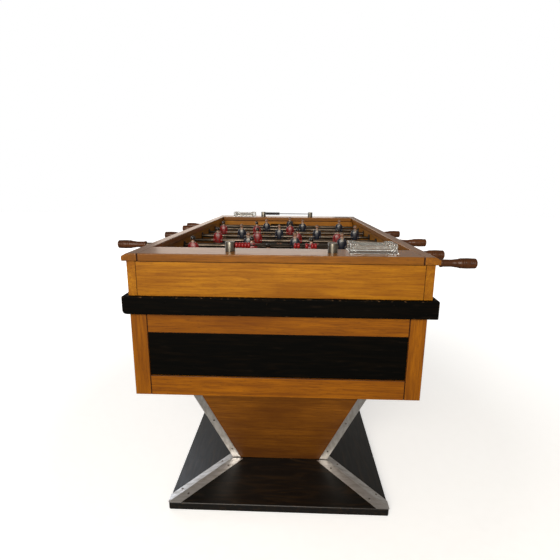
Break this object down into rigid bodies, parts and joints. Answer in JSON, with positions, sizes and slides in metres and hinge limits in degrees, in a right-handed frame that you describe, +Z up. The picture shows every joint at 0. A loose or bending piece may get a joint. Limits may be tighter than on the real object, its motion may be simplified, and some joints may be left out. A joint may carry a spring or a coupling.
{
  "type": "foosball table",
  "caption": "Cafe foosball table on a tapered pedestal, with telescopic player rods, bead scorers and glass ashtrays.",
  "frame": {"origin": "on the floor, under the middle of the table", "axes": "+Z up, +Y along the table from the near end to the far end, +X across it to the right"},
  "size_m": [1.282, 1.56, 0.938],
  "materials": {
    "field_linoleum": "matt linoleum, olive grey",
    "inner_wood": "sawn beech, unvarnished",
    "varnished_board": "honey varnish, satin",
    "varnished_rim": "honey varnish, gloss",
    "varnished_neck": "honey varnish over plywood, satin",
    "black_paint": "black paint over wood, satin",
    "aluminium_angle": "drawn aluminium angle, handled and scuffed",
    "screw_steel": "zinc plated screws, dulled",
    "bearing_nylon": "black nylon",
    "turned_aluminium": "turned aluminium",
    "drawn_steel": "drawn steel",
    "polished_tube": "polished steel tube, worn",
    "turned_handle": "turned hardwood, dark and worn",
    "team_red": "cast and enamelled, red shirts",
    "team_navy": "cast and enamelled, navy shirts",
    "bead_red": "moulded plastic, red",
    "bead_black": "moulded plastic, black",
    "pressed_glass": "pressed clear glass"
  },
  "bodies": {
    "table": {"playing_field": "field_linoleum", "field_battens": "inner_wood", "side_boards": "varnished_board", "end_boards": "varnished_board", "goal_walls": "varnished_board", "goal_chutes": "inner_wood", "ball_ramps": "inner_wood", "rim_side_rails": "varnished_rim", "rim_end_boards": "varnished_rim", "bumper_rails": "black_paint", "corner_posts": "varnished_board", "frame_rails": "varnished_board", "side_panels": "black_paint", "cabinet_floor": "inner_wood", "neck_panels": "varnished_neck", "foot_panels": "black_paint", "base_board": "black_paint", "neck_trims": "aluminium_angle", "foot_trims": "aluminium_angle", "trim_screws": "screw_steel", "rod_bearings": "bearing_nylon", "score_posts": "turned_aluminium", "score_wires": "drawn_steel"},
    "rod1_turner": {"rod1_core": "drawn_steel"},
    "rod1_slider": {"rod1_tube": "polished_tube", "rod1_players": "team_red", "rod1_handle": "turned_handle"},
    "rod2_turner": {"rod2_core": "drawn_steel"},
    "rod2_slider": {"rod2_tube": "polished_tube", "rod2_players": "team_red", "rod2_handle": "turned_handle"},
    "rod3_turner": {"rod3_core": "drawn_steel"},
    "rod3_slider": {"rod3_tube": "polished_tube", "rod3_players": "team_navy", "rod3_handle": "turned_handle"},
    "rod4_turner": {"rod4_core": "drawn_steel"},
    "rod4_slider": {"rod4_tube": "polished_tube", "rod4_players": "team_red", "rod4_handle": "turned_handle"},
    "rod5_turner": {"rod5_core": "drawn_steel"},
    "rod5_slider": {"rod5_tube": "polished_tube", "rod5_players": "team_navy", "rod5_handle": "turned_handle"},
    "rod6_turner": {"rod6_core": "drawn_steel"},
    "rod6_slider": {"rod6_tube": "polished_tube", "rod6_players": "team_red", "rod6_handle": "turned_handle"},
    "rod7_turner": {"rod7_core": "drawn_steel"},
    "rod7_slider": {"rod7_tube": "polished_tube", "rod7_players": "team_navy", "rod7_handle": "turned_handle"},
    "rod8_turner": {"rod8_core": "drawn_steel"},
    "rod8_slider": {"rod8_tube": "polished_tube", "rod8_players": "team_navy", "rod8_handle": "turned_handle"},
    "score_near_left": {"beads_near_left": "bead_red"},
    "score_near_right": {"beads_near_right": "bead_red"},
    "score_far": {"beads_far": "bead_black"},
    "dish_near": {"ashtray_near": "pressed_glass"},
    "dish_far": {"ashtray_far": "pressed_glass"}
  },
  "joints": [
    {"name": "rod1_spin", "type": "hinge", "parent": "table", "child": "rod1_turner", "pos_m": [0, -0.57295, 0.86], "axis": [1, 0, 0], "continuous": true},
    {"name": "rod1_slide", "type": "slide", "parent": "rod1_turner", "child": "rod1_slider", "axis": [1, 0, 0], "range_m": [-0.073, 0.414]},
    {"name": "rod2_spin", "type": "hinge", "parent": "table", "child": "rod2_turner", "pos_m": [0, -0.40925, 0.86], "axis": [1, 0, 0], "continuous": true},
    {"name": "rod2_slide", "type": "slide", "parent": "rod2_turner", "child": "rod2_slider", "axis": [1, 0, 0], "range_m": [-0.03, 0.27]},
    {"name": "rod3_spin", "type": "hinge", "parent": "table", "child": "rod3_turner", "pos_m": [0, -0.24555, 0.86], "axis": [1, 0, 0], "continuous": true},
    {"name": "rod3_slide", "type": "slide", "parent": "rod3_turner", "child": "rod3_slider", "axis": [-1, 0, 0], "range_m": [-0.123, 0.232]},
    {"name": "rod4_spin", "type": "hinge", "parent": "table", "child": "rod4_turner", "pos_m": [0, -0.08185, 0.86], "axis": [1, 0, 0], "continuous": true},
    {"name": "rod4_slide", "type": "slide", "parent": "rod4_turner", "child": "rod4_slider", "axis": [1, 0, 0], "range_m": [-0.07, 0.142]},
    {"name": "rod5_spin", "type": "hinge", "parent": "table", "child": "rod5_turner", "pos_m": [0, 0.08185, 0.86], "axis": [1, 0, 0], "continuous": true},
    {"name": "rod5_slide", "type": "slide", "parent": "rod5_turner", "child": "rod5_slider", "axis": [-1, 0, 0], "range_m": [-0.035, 0.165]},
    {"name": "rod6_spin", "type": "hinge", "parent": "table", "child": "rod6_turner", "pos_m": [0, 0.24555, 0.86], "axis": [1, 0, 0], "continuous": true},
    {"name": "rod6_slide", "type": "slide", "parent": "rod6_turner", "child": "rod6_slider", "axis": [1, 0, 0], "range_m": [-0.04, 0.35]},
    {"name": "rod7_spin", "type": "hinge", "parent": "table", "child": "rod7_turner", "pos_m": [0, 0.40925, 0.86], "axis": [1, 0, 0], "continuous": true},
    {"name": "rod7_slide", "type": "slide", "parent": "rod7_turner", "child": "rod7_slider", "axis": [-1, 0, 0], "range_m": [-0.037, 0.262]},
    {"name": "rod8_spin", "type": "hinge", "parent": "table", "child": "rod8_turner", "pos_m": [0, 0.57295, 0.86], "axis": [1, 0, 0], "continuous": true},
    {"name": "rod8_slide", "type": "slide", "parent": "rod8_turner", "child": "rod8_slider", "axis": [-1, 0, 0], "range_m": [-0.055, 0.39]},
    {"name": "score_near_left_slide", "type": "slide", "parent": "table", "child": "score_near_left", "axis": [1, 0, 0], "range_m": [0, 0.06]},
    {"name": "score_near_right_slide", "type": "slide", "parent": "table", "child": "score_near_right", "axis": [1, 0, 0], "range_m": [-0.05, 0.03]},
    {"name": "score_far_slide", "type": "slide", "parent": "table", "child": "score_far", "axis": [1, 0, 0], "range_m": [0, 0.17]},
    {"name": "dish_near_lift", "type": "slide", "parent": "table", "child": "dish_near", "axis": [0, 0, 1], "range_m": [0, 0.1]},
    {"name": "dish_far_lift", "type": "slide", "parent": "table", "child": "dish_far", "axis": [0, 0, 1], "range_m": [0, 0.1]}
  ]
}
